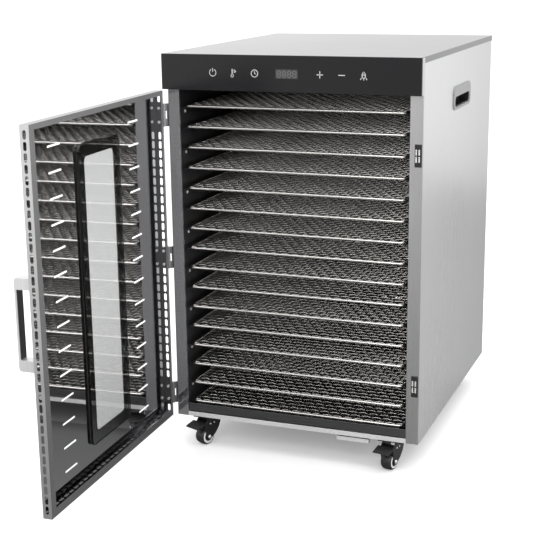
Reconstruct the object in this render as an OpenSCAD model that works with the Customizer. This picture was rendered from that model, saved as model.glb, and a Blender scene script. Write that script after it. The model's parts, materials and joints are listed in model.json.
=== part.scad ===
// Tray food dehydrator: steel cabinet on castors, hinged vented door with a window,
// sliding wire trays, drip tray, two fans with ring heaters, and a touch control head.
// Cabinet sizes are counted from the left side, the front of the jambs and the base.

/* [Cabinet] */
// Outside width of the cabinet
body_w = 435; // [420:1:460]
// Depth from the jamb faces to the back
body_d = 512; // [500:1:540]
// Height from the base to the top
body_h = 628; // [620:1:640]
// Sheet metal thickness
sheet = 1; // [0.8:0.1:1.2]
// Width of each front jamb
jamb_w = 22; // [20:1:26]
// Radius of the folded vertical front corners
fold_r = 2.5; // [1.5:0.5:3]
// Height of the side flange of the top cover
cover_flange = 9.5; // [8:0.5:14]
// Height of the sill below the drip tray
sill_h = 8; // [6:1:8]

/* [Control head] */
// Height of the control head
head_h = 58; // [56:1:60]
// Distance that the head stands in front of the jambs
head_out = 18; // [17:0.5:20]
// Thickness of the touch glass
glass_t = 4; // [3:0.5:5]
// Width of the display
display_w = 38; // [34:1:44]
// Height of the display
display_h = 15; // [12:1:18]

/* [Door] */
// Door width
door_w = 438; // [434:1:440]
// Door height
door_h = 567; // [560:1:567]
// Door thickness
door_t = 14.5; // [13:0.5:14.5]
// Gap between the closed door and the jambs
door_gap = 3; // [2.5:0.5:3]
// Opening angle of the door as drawn
door_angle = 87.9; // [0:0.1:180]
// Length of a door vent slot
vent_l = 38; // [30:1:44]
// Height of a door vent slot
vent_h = 3.2; // [2.5:0.1:4]
// Vent slots in each column
vents = 14; // [10:1:14]
// Pitch of the small slots around the door edge
edge_pitch = 15.43; // [15:0.01:16]
// Width of the clear window
window_w = 98; // [80:1:110]
// Height of the clear window
window_h = 428; // [400:1:440]
// Width of the black border round the window
window_border = 18.5; // [14:0.5:20]

/* [Door handle] */
// Height of the door handle
handle_h = 137; // [120:1:150]
// Width of the door handle
handle_w = 17; // [15:1:20]
// Distance that the handle stands out from the door
handle_out = 31.5; // [28:0.5:34]
// Thickness of the handle's bar
handle_t = 3.5; // [3:0.5:5]
// Height of each handle post
handle_post = 17; // [14:1:20]

/* [Trays] */
// Number of trays, with one node each
trays = 16; // [16:1:16]
// Height of the lowest tray rod above the base
tray_z0 = 26; // [26:0.5:27]
// Height from one tray to the next
tray_pitch = 34.3; // [34:0.1:34.4]
// Tray width
tray_w = 380; // [376:1:382]
// Tray depth
tray_d = 388; // [380:1:390]
// Diameter of the tray frame rod
rod_d = 4; // [3:0.5:4]
// Radius of the tray corners at the rod's centre
tray_r = 9; // [6:1:14]
// Thickness that stands for the woven mesh
mesh_t = 0.4; // [0.3:0.1:0.6]

/* [Castors] */
// Height of a castor from the floor to the base
castor_h = 54; // [54:1:56]
// Wheel radius
wheel_r = 15.5; // [15:0.1:15.8]
// Wheel width
wheel_w = 20; // [18:1:20]
// Distance from the swivel axis to the axle
trail = 10; // [9:1:11]
// Distance of the swivel axes from the cabinet sides
castor_in = 50; // [48:1:60]
// Distance of the front swivel axes behind the jambs
castor_front = 22; // [22:1:40]
// Distance of the rear swivel axes from the back
castor_rear = 30; // [24:1:60]

/* [Fans] */
// Radius of a fan rotor
fan_r = 85; // [70:1:86]
// Blades on a fan rotor
blades = 5; // [4:1:7]
// Height of the lower fan's axis
fan_z0 = 160; // [150:1:170]
// Distance between the two fan axes
fan_pitch = 262; // [250:1:270]

/* [Hidden] */
$fn = 32;

steel = "#c9cbcc";
polished = "#8e9092";
black = "#1b1b1c";
dark_steel = "#4a4b4d";
grey_plastic = "#9b9d9e";

// Cabinet
head_z = body_h - head_h;
mid_x = body_w / 2;
wall_x = jamb_w - sheet;
return_d = 3;
cover_lip = 10;
baffle_y = 400;
baffle_t = 1.2;
slot_w = 4;
screw_r = 1.5;
screw_clear = 0.1;
pan_head_r = 3;
pan_head_t = 1.4;

// Scoop louvre pressed down from the base
scoop_x = 293;
scoop_w = 56;
scoop_drop = 10.5;
scoop_y = 4;
scoop_run = 20;
scoop_lip = 7;

// Side handles: a bezel with a pocket behind it
grip_y = 264;
grip_z = 542;
grip_w = 127;
grip_h = 40;
grip_r = 13;
bezel_t = 2;
pocket_d = 17;
pocket_wall = 1.5;
pocket_w = grip_w - 10;
pocket_h = grip_h - 8;
mouth_w = 113;
mouth_h = 18;
mouth_z = grip_z - 6.5;

// Hinges
pin_x = -4.7;
pin_y = -door_gap;
pin_r = 1.4;
knuckle_r = 2.8;
leaf_t = 1.5;
leaf_h = 38;
leaf_d = 16;
leaf_gap = 0.3;
hinge_zs = [41, door_h / 2, door_h - 41];
hinge_screw = 11.5;
knuckle_h = (leaf_h - 2 * leaf_gap) / 3;

// Door, drawn closed and then turned open about the hinge pins
door_x = -1.5;
door_y = -door_gap - door_t;
lip_free = 14;
lip_hinge = 8;
lip_top = 8;
lip_bottom = 13;
vent_z0 = 42;
vent_pitch = 37.3;
vent_xs = [88.5, 347.5];
window_x = 167.5;
window_z = 69.5;
window_r = 9;
gasket_t = 1;
door_glass_t = 4;
edge_slots = 36;
edge_slot_l = 12.5;
edge_slot_h = 5;
edge_slot_y = door_gap + 7.3;
edge_slots_across = 27;
handle_x = 406.5;
handle_z = door_h / 2 - handle_h / 2;
handle_r = 5;

// Magnetic catches in the right jamb
catch_x = body_w - 14;
catch_w = 11;
catch_h = 35.5;
catch_zs = [82, 458.5];
catch_out = 2;
catch_in = 9;
catch_r = 2;
catch_clear = 0.2;

// Trays
tray_x = (body_w - tray_w) / 2;
tray_y = 6;
rail_w = 13;
rail_leg = 4;
rail_gap = 0.3;
rail_y = 12;
rail_l = 380;
rail_screw_y = 24;
rail_screw_up = 0.71;
drip_gap = 0.4;
drip_front_h = 14;
drip_h = 11;

// Fans and heaters
fan_zs = [fan_z0, fan_z0 + fan_pitch];
rotor_y = 412;
rotor_t = 22;
hub_r = 19;
shaft_r = 3;
shaft_clear = 0.05;
motor_y = 440;
motor_l = 36;
motor_r = 31;
motor_bolt = 38;
heater_r = 98;
heater_rod_r = 4;
heater_y = 424;
heater_post_r = 2.5;

// Power inlet
inlet_x = 362;
inlet_z = 46;
inlet_w = 27;
inlet_h = 20;
inlet_depth = 24;
inlet_flange = 2.5;

// Castors, drawn with the pedal towards -Y and then swivelled
plate_w = 42;
plate_t = 2;
plate_bolt = 15.5;
kingpin_r = 3;
axle_z = wheel_r - castor_h;
axle_r = 3;
fork_gap = 0.3;
fork_t = 2.3;
cheek_x = 11;
cheek_t = 1.5;
brake_y = -7;
brake_z = -15;
brake_pin_r = 1.5;
brake_barrel_r = 3;
fork_front = 13;
fork_back = 13;
cheek_foot_r = 5.5;
cheek_side = [
    [fork_back, -3], [17, -7], [17, -16.5], [13, -26], [4.5, -35.5], [-6, -42], [-15.5, axle_z],
    [-20, -21], [-19.5, -15], [-fork_front, -7], [-fork_front, -3]
];
tread_r = 3;
rim_groove_r = 10.5;
rim_groove_w = 5;
pedal_half = 15;
arm_half = 9.5;
shoe_half = 8;
pedal_side = [[-22, -10.6], [-40, -15.6], [-41, -17.6], [-22, -14]];
arm_side = [[brake_y, -12.2], [-21, -11.5], [-23, -12], [-23, -16], [-20, -17], [brake_y, -17.8]];
shoe_side = [[-21.5, -15], [-21.5, -22.3], [-16, -20], [-16, -15]];
castor_ats = [
    [castor_in, castor_front], [body_w - castor_in, castor_front],
    [castor_in, body_d - castor_rear], [body_w - castor_in, body_d - castor_rear]
];
castor_turns = [-22, -13, -20, -15];

// The row's origin is on the floor, under the middle of the whole object with its door open
low_x = pin_x - (handle_out + door_t) + (handle_x - pin_x) * cos(door_angle);
high_x = body_w + bezel_t - sheet;
low_y = pin_y - (door_x + door_w - pin_x) * sin(door_angle);
high_y = body_d + inlet_flange;
row = [-(low_x + high_x) / 2, -(low_y + high_y) / 2, castor_h];

// ---- Placing and shape helpers ----

module in_row() translate(row) children();

module in_door()
    in_row()
        translate([pin_x, pin_y, 0])
            rotate([0, 0, -door_angle])
                translate([-pin_x, -pin_y, 0]) children();

module in_castor(i)
    in_row()
        translate([castor_ats[i][0], castor_ats[i][1], 0])
            rotate([0, 0, castor_turns[i]]) children();

// The same thing on the right, mirrored about the cabinet's middle
module on_right() translate([body_w, 0, 0]) mirror([1, 0, 0]) children();

module box(low, high) translate(low) cube(high - low);

// Plates square to X and to Y, from an outline drawn in (Y, Z) or in (X, Z)
module plate_x(x, t) translate([x, 0, 0]) rotate([90, 0, 90]) linear_extrude(t) children();

module plate_y(y, t) translate([0, y + t, 0]) rotate([90, 0, 0]) linear_extrude(t) children();

module rod_x(x, l, r) translate([x, 0, 0]) rotate([0, 90, 0]) cylinder(h = l, r = r);

module rod_y(y, l, r) translate([0, y, 0]) rotate([-90, 0, 0]) cylinder(h = l, r = r);

module rect(low, high) translate(low) square(high - low);

module slot(l, h) {
    square([l - h, h], center = true);
    for (side = [-1, 1]) translate([side * (l - h) / 2, 0]) circle(d = h);
}

module round_rect(w, h, r) {
    square([w - 2 * r, h], center = true);
    square([w, h - 2 * r], center = true);
    for (sx = [-1, 1], sy = [-1, 1]) translate([sx * (w / 2 - r), sy * (h / 2 - r)]) circle(r);
}

// A pan head screw along +Y whose head stands in front of the point, towards -Y
module screw(l, r = screw_r) {
    rod_y(-pan_head_t, pan_head_t, pan_head_r);
    rod_y(0, l, r);
}

module screw_hole() circle(screw_r + screw_clear);

// ---- Cabinet shell ----

module side_panel(catches = false) {
    difference() {
        union() {
            difference() {
                plate_x(sheet, sheet) rect([fold_r, 0], [body_d - sheet, body_h - sheet]);
                plate_x(0, 3 * sheet)
                    translate([grip_y, grip_z]) round_rect(pocket_w + 0.4, pocket_h + 0.4, grip_r - 4);
            }
            // jamb with its folded corner and the short return along the opening
            box([sheet + fold_r, 0, 0], [jamb_w, sheet, head_z]);
            box([wall_x, 0, 0], [jamb_w, return_d, head_z]);
            translate([sheet + fold_r, fold_r, 0]) intersection() {
                difference() {
                    cylinder(h = head_z, r = fold_r);
                    translate([0, 0, -1]) cylinder(h = head_z + 2, r = fold_r - sheet);
                }
                translate([-fold_r, -fold_r, 0]) cube([fold_r, fold_r, head_z]);
            }
        }
        if (catches)
            for (z = catch_zs)
                box([body_w - catch_x - catch_w - catch_clear, -1, z - catch_clear],
                    [body_w - catch_x + catch_clear, 2, z + catch_h + catch_clear]);
        if (!catches)
            plate_x(0, 3 * sheet)
                for (z = hinge_zs, s = [-1, 1]) translate([leaf_d - 5, z + s * hinge_screw]) screw_hole();
    }
}

module left_side_panel() color(steel) in_row() side_panel();

module right_side_panel() color(steel) in_row() on_right() side_panel(catches = true);

module top_cover() color(steel) in_row() {
    box([0, glass_t - head_out, body_h - sheet], [body_w, body_d, body_h]);
    for (x = [0, body_w - sheet])
        box([x, 0, body_h - cover_flange], [x + sheet, body_d, body_h]);
    box([0, body_d, body_h - cover_lip], [body_w, body_d + sheet, body_h]);
}

back_screws = [for (x = [12, mid_x, body_w - 12], z = [30, body_h / 2, body_h - 30]) [x, z]];

module back_panel() color(steel) in_row() plate_y(body_d - sheet, sheet) difference() {
    rect([sheet, 0], [body_w - sheet, body_h - sheet]);
    for (z = fan_zs, i = [-6:6])
        translate([mid_x, z + i * 10]) slot(100, slot_w);
    translate([inlet_x, inlet_z]) square([inlet_w + 0.4, inlet_h + 0.4], center = true);
    for (p = back_screws) translate(p) screw_hole();
}

castor_screws = [for (at = castor_ats, sx = [-1, 1], sy = [-1, 1]) at + plate_bolt * [sx, sy]];

module base_panel() color(steel) in_row() {
    linear_extrude(sheet) difference() {
        union() {
            rect([2 * sheet, fold_r], [body_w - 2 * sheet, body_d - sheet]);
            rect([jamb_w, sheet], [body_w - jamb_w, fold_r + 1]);
        }
        rect([scoop_x + 2, scoop_y + 2], [scoop_x + scoop_w - 2, scoop_y + scoop_run - 4]);
        for (p = castor_screws) translate(p) screw_hole();
    }
    box([jamb_w, 0, 0], [body_w - jamb_w, sheet, sill_h]);
    // the scoop louvre: a sloping floor, two cheeks and a turned-up front lip
    plate_x(scoop_x, scoop_w) polygon([
        [scoop_y, -scoop_drop], [scoop_y + 2, -scoop_drop],
        [scoop_y + scoop_run, 0], [scoop_y + scoop_run - 3, 0], [scoop_y, -scoop_drop + 1]
    ]);
    for (x = [scoop_x, scoop_x + scoop_w - sheet])
        plate_x(x, sheet) polygon([
            [scoop_y, -scoop_drop], [scoop_y + scoop_run - 1, 0], [scoop_y + 4, 0], [scoop_y, -scoop_lip]
        ]);
    box([scoop_x, scoop_y, -scoop_drop], [scoop_x + scoop_w, scoop_y + sheet, scoop_lip - scoop_drop]);
}

// ---- Control head ----

module control_housing() color(steel) in_row() {
    front = glass_t - head_out;
    plate_y(front, sheet) difference() {
        rect([0, head_z], [body_w, body_h - sheet]);
        translate([mid_x, head_z + head_h / 2]) square([display_w + 3, display_h + 3], center = true);
    }
    box([0, front, head_z], [body_w, 0, head_z + sheet]);
    box([jamb_w, 0, head_z], [body_w - jamb_w, return_d, head_z + sheet]);
    for (x = [0, body_w - sheet])
        box([x, front, head_z], [x + sheet, 0, body_h - sheet]);
}

module control_glass() color(black) in_row()
    box([0.3, -head_out, head_z + 0.2], [body_w - 0.3, glass_t - head_out, body_h - 0.2]);

module control_board() color("#1f5a34") in_row() {
    board_y = -6.5;
    // display module and its board behind the touch glass
    translate([mid_x, 0, head_z + head_h / 2]) {
        box([-display_w / 2, glass_t - head_out, -display_h / 2], [display_w / 2, board_y, display_h / 2]);
        box([-150, board_y, -18], [150, board_y + 1.6, 18]);
        for (x = [-120, -80, 80, 120]) box([x - 6, board_y + 1.6, -6], [x + 6, board_y + 5, 6]);
    }
    // power board above the ceiling, with a transformer, a relay and two capacitors
    translate([mid_x, 200, head_z + sheet]) {
        for (sx = [-1, 1], sy = [-1, 1])
            translate([sx * 50, sy * 32, 0]) cylinder(h = 6, r = 3);
        box([-58, -40, 6], [58, 40, 7.6]);
        box([-45, -28, 7.6], [-10, 6, 32]);
        box([10, -25, 7.6], [38, -10, 24]);
        for (x = [12, 34]) translate([x, 18, 7.6]) cylinder(h = 20, r = 8);
    }
}

// ---- Drying chamber ----

function tray_z(i) = tray_z0 + i * tray_pitch;

rail_screws = [for (i = [0:2:trays - 1]) [rail_screw_y, tray_z(i) + tray_pitch * rail_screw_up]];

module inner_wall() plate_x(wall_x - sheet, sheet) difference() {
    rect([sheet, sill_h], [baffle_y + baffle_t, head_z + sheet]);
    for (p = rail_screws) translate(p) screw_hole();
}

module inner_side_walls() color(black) in_row() {
    inner_wall();
    on_right() inner_wall();
}

// One angle under each side of each tray
module rails() for (i = [0:trays - 1]) {
    top = tray_z(i) - rod_d / 2 - rail_gap;
    box([wall_x, rail_y, top - sheet], [wall_x + rail_w, rail_y + rail_l, top]);
    box([wall_x, rail_y, top - rail_leg], [wall_x + sheet, rail_y + rail_l, top]);
}

module tray_rails() color(dark_steel) in_row() {
    rails();
    on_right() rails();
}

module inner_ceiling() color(black) in_row()
    box([wall_x, return_d, head_z], [body_w - wall_x, baffle_y, head_z + sheet]);

module inner_floor() color(dark_steel) in_row()
    box([wall_x, return_d, sill_h], [body_w - wall_x, baffle_y, sill_h + sheet]);

// Rings of holes in front of each fan
module fan_baffle() color(dark_steel) in_row() plate_y(baffle_y, baffle_t) difference() {
    rect([wall_x, sill_h], [body_w - wall_x, head_z + sheet]);
    for (z = fan_zs) translate([mid_x, z])
        for (ring = [1:3], i = [0:6 * ring - 1])
            rotate(i * 60 / ring) translate([ring * 26, 0]) circle(8);
    for (z = fan_zs, side = [-1, 1], i = [-3:3])
        translate([mid_x + side * 150, z + i * 30]) slot(50, 8);
}

// ---- Fans, heaters and electrics ----

module fan_motor() {
    rod_y(motor_y, motor_l, motor_r);
    rod_y(rotor_y - 2, motor_y - rotor_y + 3, shaft_r);
    plate_y(motor_y + motor_l, 2) round_rect(2 * motor_bolt + 16, 2 * motor_bolt + 16, 8);
    for (sx = [-1, 1], sz = [-1, 1])
        translate([sx * motor_bolt, 0, sz * motor_bolt])
            rod_y(motor_y + motor_l + 2, body_d - sheet - motor_y - motor_l - 2, 4);
}

module fan_motors() color(dark_steel) in_row()
    for (z = fan_zs) translate([mid_x, 0, z]) fan_motor();

module fan_rotor(z) color(polished) in_row() translate([mid_x, rotor_y, z]) rotate([-90, 0, 0])
    difference() {
        union() {
            cylinder(h = rotor_t, r = hub_r);
            intersection() {
                cylinder(h = rotor_t, r = fan_r);
                for (i = [0:blades - 1]) rotate([0, 0, i * 360 / blades])
                    translate([hub_r - 3, 0, rotor_t / 2]) rotate([32, 0, 0])
                        translate([0, -24, -0.6]) cube([fan_r, 48, 1.2]);
            }
        }
        translate([0, 0, -1]) cylinder(h = rotor_t + 2, r = shaft_r + shaft_clear);
    }

module lower_fan_rotor() fan_rotor(fan_zs[0]);

module upper_fan_rotor() fan_rotor(fan_zs[1]);

module heater_elements() color("#7d6a58") in_row()
    for (z = fan_zs) translate([mid_x, 0, z]) {
        translate([0, heater_y, 0]) rotate([90, 0, 0])
            rotate_extrude($fn = 64) translate([heater_r, 0]) circle(heater_rod_r);
        for (a = [30, 150, 270])
            translate([heater_r * cos(a), 0, heater_r * sin(a)])
                rod_y(baffle_y + baffle_t, heater_y - baffle_y - baffle_t, heater_post_r);
    }

module thermal_sensor() color("#d8d2c0") in_row()
    translate([mid_x, baffle_y + baffle_t, (fan_zs[0] + fan_zs[1]) / 2]) {
        box([-14, 0, -6], [14, 2, 6]);
        translate([-10, 5, 0]) rod_x(0, 20, 3);
        box([-4, 2, -3], [4, 5, 3]);
    }

module power_inlet() color(black) in_row() translate([inlet_x, 0, inlet_z]) {
    difference() {
        union() {
            plate_y(body_d, inlet_flange) round_rect(inlet_w + 22, inlet_h + 5, 4);
            box([-inlet_w / 2, body_d - inlet_depth, -inlet_h / 2], [inlet_w / 2, body_d, inlet_h / 2]);
        }
        box([-11.5, body_d - 16, -8], [11.5, body_d + inlet_flange + 1, 8]);
    }
    for (p = [[-7, -1.5], [7, -1.5], [0, 3]])
        box([p[0] - 1, body_d - 17, p[1] - 2], [p[0] + 1, body_d - 5, p[1] + 2]);
}

module interior_lamp() color("#e8e4d8") in_row() translate([mid_x, 372, head_z]) {
    box([-38, -9, -4], [38, 9, 0]);
    difference() {
        rod_x(-32, 64, 8);
        box([-40, -10, 0], [40, 10, 10]);
        box([-40, -10, -4], [40, 10, 10]);
    }
}

// ---- Fittings on the cabinet ----

module magnetic_catches() color(black) in_row()
    for (z = catch_zs)
        translate([catch_x + catch_w / 2, 0, z + catch_h / 2])
            plate_y(-catch_out, catch_out + catch_in) round_rect(catch_w, catch_h, catch_r);

// Drawn for the left side: the bezel stands out towards -X
module side_handle() {
    difference() {
        union() {
            plate_x(sheet - bezel_t, bezel_t)
                translate([grip_y, grip_z]) round_rect(grip_w, grip_h, grip_r);
            plate_x(sheet, pocket_d)
                translate([grip_y, grip_z]) round_rect(pocket_w, pocket_h, grip_r - 4);
        }
        plate_x(-bezel_t, bezel_t + 3)
            translate([grip_y, mouth_z]) round_rect(mouth_w, mouth_h, 8);
        plate_x(sheet, pocket_d - pocket_wall)
            translate([grip_y, grip_z]) round_rect(pocket_w - 2 * pocket_wall, pocket_h - 2 * pocket_wall, 7);
    }
}

module side_handles() color(grey_plastic) in_row() {
    side_handle();
    on_right() side_handle();
}

module knuckle(z) translate([pin_x, pin_y, z]) cylinder(h = knuckle_h, r = knuckle_r);

// Upper and lower knuckle with the pin, and the leaf on the side panel
module cabinet_hinge_leaves() color(polished) in_row() for (z = hinge_zs) {
    low = z - leaf_h / 2;
    high = z + leaf_h / 2;
    for (k = [low, high - knuckle_h]) {
        knuckle(k);
        box([pin_x, pin_y + knuckle_r - 1.2, k], [sheet, pin_y + knuckle_r, k + knuckle_h]);
    }
    translate([pin_x, pin_y, low]) cylinder(h = leaf_h, r = pin_r);
    box([sheet - leaf_t, pin_y + knuckle_r - 1.2, low], [sheet, pin_y + knuckle_r, high]);
    plate_x(sheet - leaf_t, leaf_t) difference() {
        rect([pin_y + knuckle_r - 1.2, low], [leaf_d, high]);
        for (s = [-1, 1]) translate([leaf_d - 5, z + s * hinge_screw]) screw_hole();
    }
}

module castor_plates() color(black) in_row() for (at = castor_ats) translate([at[0], at[1], 0]) {
    translate([0, 0, -plate_t]) linear_extrude(plate_t) difference() {
        round_rect(plate_w, plate_w, 4);
        for (sx = [-1, 1], sy = [-1, 1]) translate(plate_bolt * [sx, sy]) screw_hole();
    }
    head = plate_t + fork_gap + fork_t + fork_gap;
    translate([0, 0, -head]) cylinder(h = head - plate_t, r = kingpin_r);
    translate([0, 0, -head - 2]) cylinder(h = 2, r = 5.5);
}

module cabinet_screws() color(polished) in_row() {
    for (p = back_screws) translate([p[0], body_d, p[1]]) rotate([0, 0, 180]) screw(6);
    for (p = castor_screws) translate([p[0], p[1], -plate_t]) rotate([90, 0, 0]) screw(5);
    for (p = rail_screws) {
        translate([wall_x, p[0], p[1]]) rotate([0, 0, 90]) screw(5);
        on_right() translate([wall_x, p[0], p[1]]) rotate([0, 0, 90]) screw(5);
    }
    for (z = hinge_zs, s = [-1, 1])
        translate([sheet - leaf_t, leaf_d - 5, z + s * hinge_screw]) rotate([0, 0, -90]) screw(5);
}

// ---- Door ----

module vents_2d() for (x = vent_xs, i = [0:vents - 1])
    translate([x, vent_z0 + i * vent_pitch]) slot(vent_l, vent_h);

function edge_slot_z(i) = door_h / 2 + (i - (edge_slots - 1) / 2) * edge_pitch;

// Slots up the free edge and the hinge edge, leaving the hinges clear
module edge_slots_2d(keep_hinges) for (i = [0:edge_slots - 1]) {
    z = edge_slot_z(i);
    near = min([for (h = hinge_zs) abs(z - h)]);
    if (!keep_hinges || near > leaf_h / 2 + edge_slot_l / 2 - 3)
        translate([-edge_slot_y, z]) rotate(90) slot(edge_slot_l, edge_slot_h);
}

module across_slots_2d() for (i = [0:edge_slots_across - 1])
    translate([door_x + door_w / 2 + (i - (edge_slots_across - 1) / 2) * edge_pitch, -edge_slot_y])
        slot(edge_slot_l, edge_slot_h);

module door_pan() color(steel) in_door() {
    right = door_x + door_w;
    back = -door_gap;
    plate_y(door_y, sheet) difference() {
        rect([door_x, 0], [right, door_h]);
        vents_2d();
        translate([window_x + window_w / 2, window_z + window_h / 2])
            round_rect(window_w, window_h, window_r);
        for (z = [0, 1])
            translate([handle_x + handle_w / 2, handle_z + handle_post / 2 + z * (handle_h - handle_post)])
                screw_hole();
    }
    plate_x(door_x, sheet) difference() {
        rect([door_y + sheet, 0], [back, door_h]);
        edge_slots_2d(true);
        for (z = hinge_zs, s = [-1, 1]) translate([-edge_slot_y, z + s * hinge_screw]) screw_hole();
    }
    plate_x(right - sheet, sheet) difference() {
        rect([door_y + sheet, 0], [back, door_h]);
        edge_slots_2d(false);
    }
    linear_extrude(sheet) difference() {
        rect([door_x, door_y + sheet], [right, back]);
        across_slots_2d();
    }
    box([door_x, door_y + sheet, door_h - sheet], [right, back, door_h]);
    plate_y(back - sheet, sheet) difference() {
        rect([door_x, 0], [right, door_h]);
        rect([door_x + lip_hinge, lip_bottom], [right - lip_free, door_h - lip_top]);
    }
}

module window_outline(grow) translate([window_x + window_w / 2, window_z + window_h / 2])
    round_rect(window_w + 2 * grow, window_h + 2 * grow, window_r);

module window_gasket() color(black) in_door() plate_y(door_y + sheet, gasket_t) difference() {
    window_outline(window_border);
    window_outline(0);
}

module door_glass() color([0.85, 0.88, 0.88, 0.35]) in_door()
    plate_y(door_y + sheet + gasket_t, door_glass_t) window_outline(window_border);

module door_handle() color(steel) in_door()
    difference() {
        plate_x(handle_x, handle_w) difference() {
            union() {
                translate([door_y - handle_out / 2, door_h / 2])
                    round_rect(handle_out, handle_h, handle_r);
                rect([door_y - handle_out / 2, handle_z], [door_y, handle_z + handle_h]);
            }
            rect([door_y - handle_out + handle_t, handle_z + handle_post],
                 [door_y + 1, handle_z + handle_h - handle_post]);
        }
        for (z = [0, 1])
            translate([handle_x + handle_w / 2, 0, handle_z + handle_post / 2 + z * (handle_h - handle_post)])
                rod_y(door_y - 10.5, 12, screw_r + screw_clear);
    }

module door_hinge_leaves() color(polished) in_door() for (z = hinge_zs) {
    low = z - leaf_h / 2;
    difference() {
        union() {
            knuckle(z - knuckle_h / 2);
            box([door_x - leaf_t, pin_y - 4, z - knuckle_h / 2], [door_x, pin_y, z + knuckle_h / 2]);
            plate_x(door_x - leaf_t, leaf_t) difference() {
                rect([door_y + 0.5, low], [pin_y - 3.6, low + leaf_h]);
                for (s = [-1, 1]) translate([-edge_slot_y, z + s * hinge_screw]) screw_hole();
            }
        }
        translate([pin_x, pin_y, low]) cylinder(h = leaf_h, r = pin_r + shaft_clear);
    }
}

// Hinge screws with a nut inside the flange, and the handle's screws from inside
module door_screws() color(polished) in_door() {
    for (z = hinge_zs, s = [-1, 1])
        translate([door_x - leaf_t, -edge_slot_y, z + s * hinge_screw]) rotate([0, 0, -90]) {
            rod_y(-1.2, 1.2, 2.6);
            rod_y(0, leaf_t + sheet, screw_r);
            rod_y(leaf_t + sheet, 1.6, 2.4);
        }
    for (z = [0, 1])
        translate([handle_x + handle_w / 2, door_y + sheet,
                   handle_z + handle_post / 2 + z * (handle_h - handle_post)])
            rotate([0, 0, 180]) screw(9);
}

// ---- Trays ----

module corner_rod(r) rotate_extrude(angle = 90) translate([r, 0]) circle(d = rod_d);

// A rod frame with round corners and the mesh lying in it
module tray(i) color(steel) in_row() translate([tray_x, tray_y, tray_z(i)]) {
    far_x = tray_w - rod_d / 2;
    far_y = tray_d - rod_d / 2;
    near = rod_d / 2;
    c = near + tray_r;
    for (y = [near, far_y]) translate([0, y, 0]) rod_x(c, tray_w - 2 * c, rod_d / 2);
    for (x = [near, far_x]) translate([x, 0, 0]) rod_y(c, tray_d - 2 * c, rod_d / 2);
    translate([c, c, 0]) rotate([0, 0, 180]) corner_rod(tray_r);
    translate([tray_w - c, c, 0]) rotate([0, 0, 270]) corner_rod(tray_r);
    translate([tray_w - c, tray_d - c, 0]) corner_rod(tray_r);
    translate([c, tray_d - c, 0]) rotate([0, 0, 90]) corner_rod(tray_r);
    translate([tray_w / 2, tray_d / 2, -mesh_t / 2])
        linear_extrude(mesh_t) round_rect(tray_w - rod_d, tray_d - rod_d, tray_r);
}

module drip_tray() color(dark_steel) in_row() {
    low = sill_h + sheet + drip_gap;
    side = wall_x + rail_w + 2;
    front = 1.2;
    back = tray_y + tray_d;
    box([jamb_w + 0.6, front, low], [body_w - jamb_w - 0.6, front + sheet, low + drip_front_h]);
    difference() {
        box([side, front, low], [body_w - side, back, low + drip_h]);
        box([side + sheet, front + sheet, low + sheet],
            [body_w - side - sheet, back - sheet, low + drip_h + 1]);
    }
}

// ---- Castors ----

module fork(i) color(black) in_castor(i) {
    top = -plate_t - fork_gap;
    difference() {
        box([-cheek_x - cheek_t, -fork_front, top - fork_t], [cheek_x + cheek_t, fork_back, top]);
        translate([0, 0, top - fork_t - 1]) cylinder(h = fork_t + 2, r = kingpin_r + shaft_clear);
    }
    for (x = [-cheek_x - cheek_t, cheek_x]) {
        plate_x(x, cheek_t) {
            polygon(cheek_side);
            translate([-trail, axle_z]) circle(cheek_foot_r);
        }
        translate([0, brake_y, brake_z]) rod_x(-cheek_x - cheek_t, 2 * (cheek_x + cheek_t), brake_pin_r);
        translate([0, -trail, axle_z]) rod_x(-cheek_x - cheek_t - 1, 2 * (cheek_x + cheek_t + 1), axle_r);
    }
}

module wheel(i) color(black) in_castor(i)
    translate([0, -trail, axle_z]) rotate([0, 90, 0]) rotate_extrude($fn = 64) difference() {
        union() {
            translate([wheel_r / 2, 0]) round_rect(wheel_r, wheel_w, tread_r);
            translate([0, -wheel_w / 2]) square([wheel_r / 2, wheel_w]);
        }
        translate([-wheel_r, -wheel_w]) square([wheel_r + axle_r + shaft_clear, 2 * wheel_w]);
        for (s = [-1, 1])
            translate([rim_groove_r, s * wheel_w / 2]) square([rim_groove_w, 2], center = true);
    }

// A pedal that presses a shoe on the wheel
module brake(i) color(black) in_castor(i) difference() {
    union() {
        translate([0, brake_y, brake_z]) rod_x(-cheek_x + 0.4, 2 * cheek_x - 0.8, brake_barrel_r);
        plate_x(-arm_half, 2 * arm_half) polygon(arm_side);
        plate_x(-pedal_half, 2 * pedal_half) polygon(pedal_side);
        plate_x(-shoe_half, 2 * shoe_half) polygon(shoe_side);
    }
    translate([0, brake_y, brake_z]) rod_x(-20, 40, brake_pin_r + shaft_clear);
}

// ---- Nodes ----

left_side_panel();
right_side_panel();
top_cover();
back_panel();
base_panel();
control_housing();
control_glass();
control_board();
inner_side_walls();
tray_rails();
inner_ceiling();
inner_floor();
fan_baffle();
fan_motors();
heater_elements();
thermal_sensor();
power_inlet();
interior_lamp();
magnetic_catches();
side_handles();
cabinet_hinge_leaves();
castor_plates();
cabinet_screws();
door_pan();
door_glass();
window_gasket();
door_handle();
door_hinge_leaves();
door_screws();
tray(0);  // tray_01
tray(1);  // tray_02
tray(2);  // tray_03
tray(3);  // tray_04
tray(4);  // tray_05
tray(5);  // tray_06
tray(6);  // tray_07
tray(7);  // tray_08
tray(8);  // tray_09
tray(9);  // tray_10
tray(10);  // tray_11
tray(11);  // tray_12
tray(12);  // tray_13
tray(13);  // tray_14
tray(14);  // tray_15
tray(15);  // tray_16
drip_tray();
lower_fan_rotor();
upper_fan_rotor();
fork(0);  // front_left_fork
wheel(0);  // front_left_wheel
brake(0);  // front_left_brake
fork(1);  // front_right_fork
wheel(1);  // front_right_wheel
brake(1);  // front_right_brake
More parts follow.
